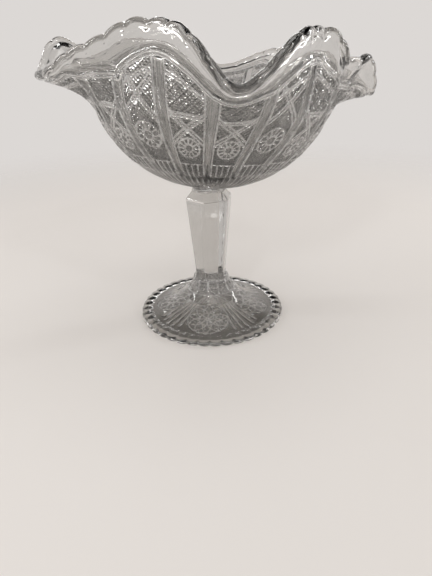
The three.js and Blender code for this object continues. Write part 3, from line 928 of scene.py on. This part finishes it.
def pale_paper():
    """Uncoated backdrop paper: matt and even, and gone where it passes into the room behind it."""
    material, tree = new_material("pale_paper")
    paper = add_node(tree, "ShaderNodeBsdfDiffuse", Color=linear(FLOOR_COLOUR))
    gone = add_node(tree, "ShaderNodeBsdfTransparent")
    place = add_node(tree, "ShaderNodeTexCoord")
    far = add_node(tree, "ShaderNodeVectorMath", {"operation": "LENGTH"}, i0=place.outputs["Object"])
    start, end = FLOOR_FADE
    fade = add_node(
        tree,
        "ShaderNodeMapRange",
        {"interpolation_type": "SMOOTHSTEP"},
        Value=far.outputs["Value"],
        From_Min=start,
        From_Max=end,
    )
    both = add_node(tree, "ShaderNodeMixShader", i0=fade.outputs[0], i1=paper.outputs[0], i2=gone.outputs[0])
    add_node(tree, "ShaderNodeOutputMaterial", Surface=both.outputs[0])
    return material


def mark_joints(piece, seats):
    """Gives the flat seats that are fused to the next piece the joint's material."""
    for face in piece.data.polygons:
        centre = face.center / MM
        level = abs(face.normal.z) > 0.99
        for z, reach in seats:
            if level and abs(centre.z - z) < 0.01 and centre.xy.length < reach:
                face.material_index = 1


# Studio


def make_floor():
    deselect()
    bpy.ops.mesh.primitive_circle_add(
        vertices=FLOOR_SIDES, radius=FLOOR_RADIUS, fill_type="NGON", location=(0, 0, -FLOOR_DROP)
    )
    floor = bpy.context.object
    floor.name = "studio_floor"
    floor.data.materials.append(pale_paper())


def make_world():
    """A pale room under a dark ceiling, which camera and glass both see, and even light for the rest."""
    world = bpy.data.worlds.new("studio")
    bpy.context.scene.world = world
    world.use_nodes = True
    tree = world.node_tree
    tree.nodes.clear()
    place = add_node(tree, "ShaderNodeTexCoord")
    up = add_node(tree, "ShaderNodeSeparateXYZ", Vector=place.outputs["Generated"]).outputs["Z"]
    start, end = CEILING_START
    ceiling = add_node(
        tree,
        "ShaderNodeMapRange",
        {"interpolation_type": "SMOOTHSTEP"},
        Value=up,
        From_Min=start,
        From_Max=end,
    )
    tone = add_node(
        tree,
        "ShaderNodeMix",
        {"data_type": "RGBA"},
        i0=ceiling.outputs[0],
        i6=linear(ROOM_COLOUR),
        i7=linear(CEILING_COLOUR),
    )
    shown = add_node(tree, "ShaderNodeBackground", Color=tone.outputs[2], Strength=1.0)
    even = add_node(tree, "ShaderNodeBackground", Color=linear(ROOM_COLOUR), Strength=ROOM_LIGHT)
    path = add_node(tree, "ShaderNodeLightPath").outputs
    either = {"operation": "MAXIMUM"}
    glass = add_node(tree, "ShaderNodeMath", either, i0=path["Is Glossy Ray"], i1=path["Is Transmission Ray"])
    seen = add_node(tree, "ShaderNodeMath", either, i0=path["Is Camera Ray"], i1=glass.outputs[0])
    both = add_node(tree, "ShaderNodeMixShader", i0=seen.outputs[0], i1=even.outputs[0], i2=shown.outputs[0])
    add_node(tree, "ShaderNodeOutputWorld", Surface=both.outputs[0])


def make_lamp(name, place, size, power):
    deselect()
    bpy.ops.object.light_add(type="AREA", location=place)
    lamp = bpy.context.object
    lamp.name = name
    lamp.data.shape = "RECTANGLE"
    lamp.data.size, lamp.data.size_y = size
    lamp.data.energy = power
    lamp.rotation_euler = (Vector(LAMP_TARGET) - Vector(place)).to_track_quat("-Z", "Y").to_euler()


def make_camera():
    back = Vector((math.sin(CAMERA_AZIMUTH), -math.cos(CAMERA_AZIMUTH), 0))
    right = Vector((math.cos(CAMERA_AZIMUTH), math.sin(CAMERA_AZIMUTH), 0))
    eye = back * CAMERA_DISTANCE + right * CAMERA_SIDEWAYS + Vector((0, 0, CAMERA_HEIGHT))
    forward = -back * math.cos(CAMERA_PITCH) - Vector((0, 0, 1)) * math.sin(CAMERA_PITCH)
    up = right.cross(forward)
    roll = Matrix.Rotation(CAMERA_ROLL, 3, forward)
    right, up = roll @ right, roll @ up
    bpy.ops.object.camera_add(location=eye)
    camera = bpy.context.object
    camera.rotation_euler = Matrix((right, up, -forward)).transposed().to_euler()
    camera.data.sensor_width = SENSOR_WIDTH
    camera.data.lens = SENSOR_WIDTH * FOCAL_PX / IMAGE_HEIGHT
    bpy.context.scene.camera = camera


make_camera()
bowl, foot, stem, wafer = make_bowl(), make_foot(), make_stem(), make_wafer()
glass, joint = pressed_glass(), fused_joint()
for piece, node, seats in (
    (bowl, "bowl", [(BOWL_SEAT_Z, BOWL_SEAT_RADIUS)]),
    (foot, "foot", [(FOOT_HEIGHT, FOOT_SEAT_FACES * STEM_BASE_RADIUS)]),
    (stem, "stem", [(FOOT_HEIGHT, STEM_BASE_RADIUS), (STEM_TOP_Z, STEM_TOP_RADIUS)]),
    (wafer, "wafer", [(STEM_TOP_Z, WAFER_STEM_RADIUS), (BOWL_SEAT_Z, WAFER_BOWL_RADIUS)]),
):
    piece.data.materials.append(glass)
    piece.data.materials.append(joint)
    mark_joints(piece, seats)
    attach(piece, "root")
    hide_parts(node)
make_floor()
make_world()
for name, place, size, power in LAMPS:
    make_lamp(name, place, size, power)

scene = bpy.context.scene
scene.view_settings.view_transform = "Standard"
